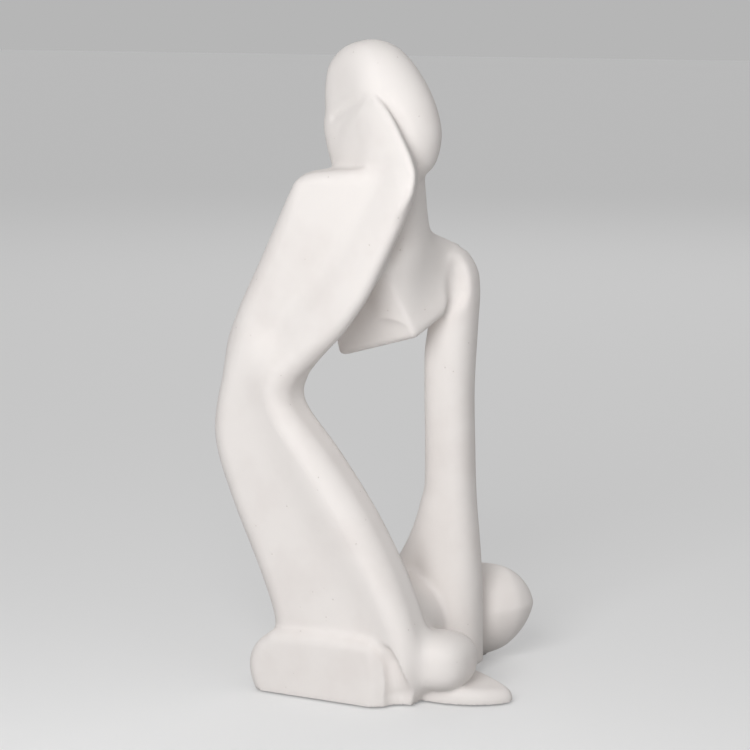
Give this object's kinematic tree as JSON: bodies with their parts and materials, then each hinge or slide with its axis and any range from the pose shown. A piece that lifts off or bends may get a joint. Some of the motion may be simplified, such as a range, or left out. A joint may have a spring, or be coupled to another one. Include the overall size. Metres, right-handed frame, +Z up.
{
  "type": "abstract thinking woman figurine",
  "caption": "Free-standing abstract figurine of a seated woman with her head on her hand, in matte off-white cast material with open gaps between the limbs.",
  "frame": {"origin": "bottom centre of the figurine's box, on the surface that it stands on", "axes": "+Z up; the figure faces -Y, and its left side, with the raised knee and the hand on the cheek, is +X"},
  "size_m": [0.105, 0.1194, 0.256],
  "materials": {
    "cast": "matte off-white cast surface, faintly warm, with a fine grain and a few small pits",
    "steel": "plain steel dowel pin",
    "felt": "grey self-adhesive felt pad"
  },
  "bodies": {
    "root": {"head_with_hand": "cast", "torso": "cast", "raised_arm": "cast", "straight_arm": "cast", "raised_leg": "cast", "folded_leg": "cast", "neck_pin": "steel", "wrist_pin": "steel", "left_shoulder_pin": "steel", "right_shoulder_pin": "steel", "knee_pin_front": "steel", "knee_pin_rear": "steel", "hip_pin_front": "steel", "hip_pin_rear": "steel", "arm_base_pin": "steel", "pad_toe": "felt", "pad_heel": "felt", "pad_rear_foot": "felt", "pad_folded_knee": "felt", "pad_folded_thigh": "felt"}
  },
  "joints": []
}
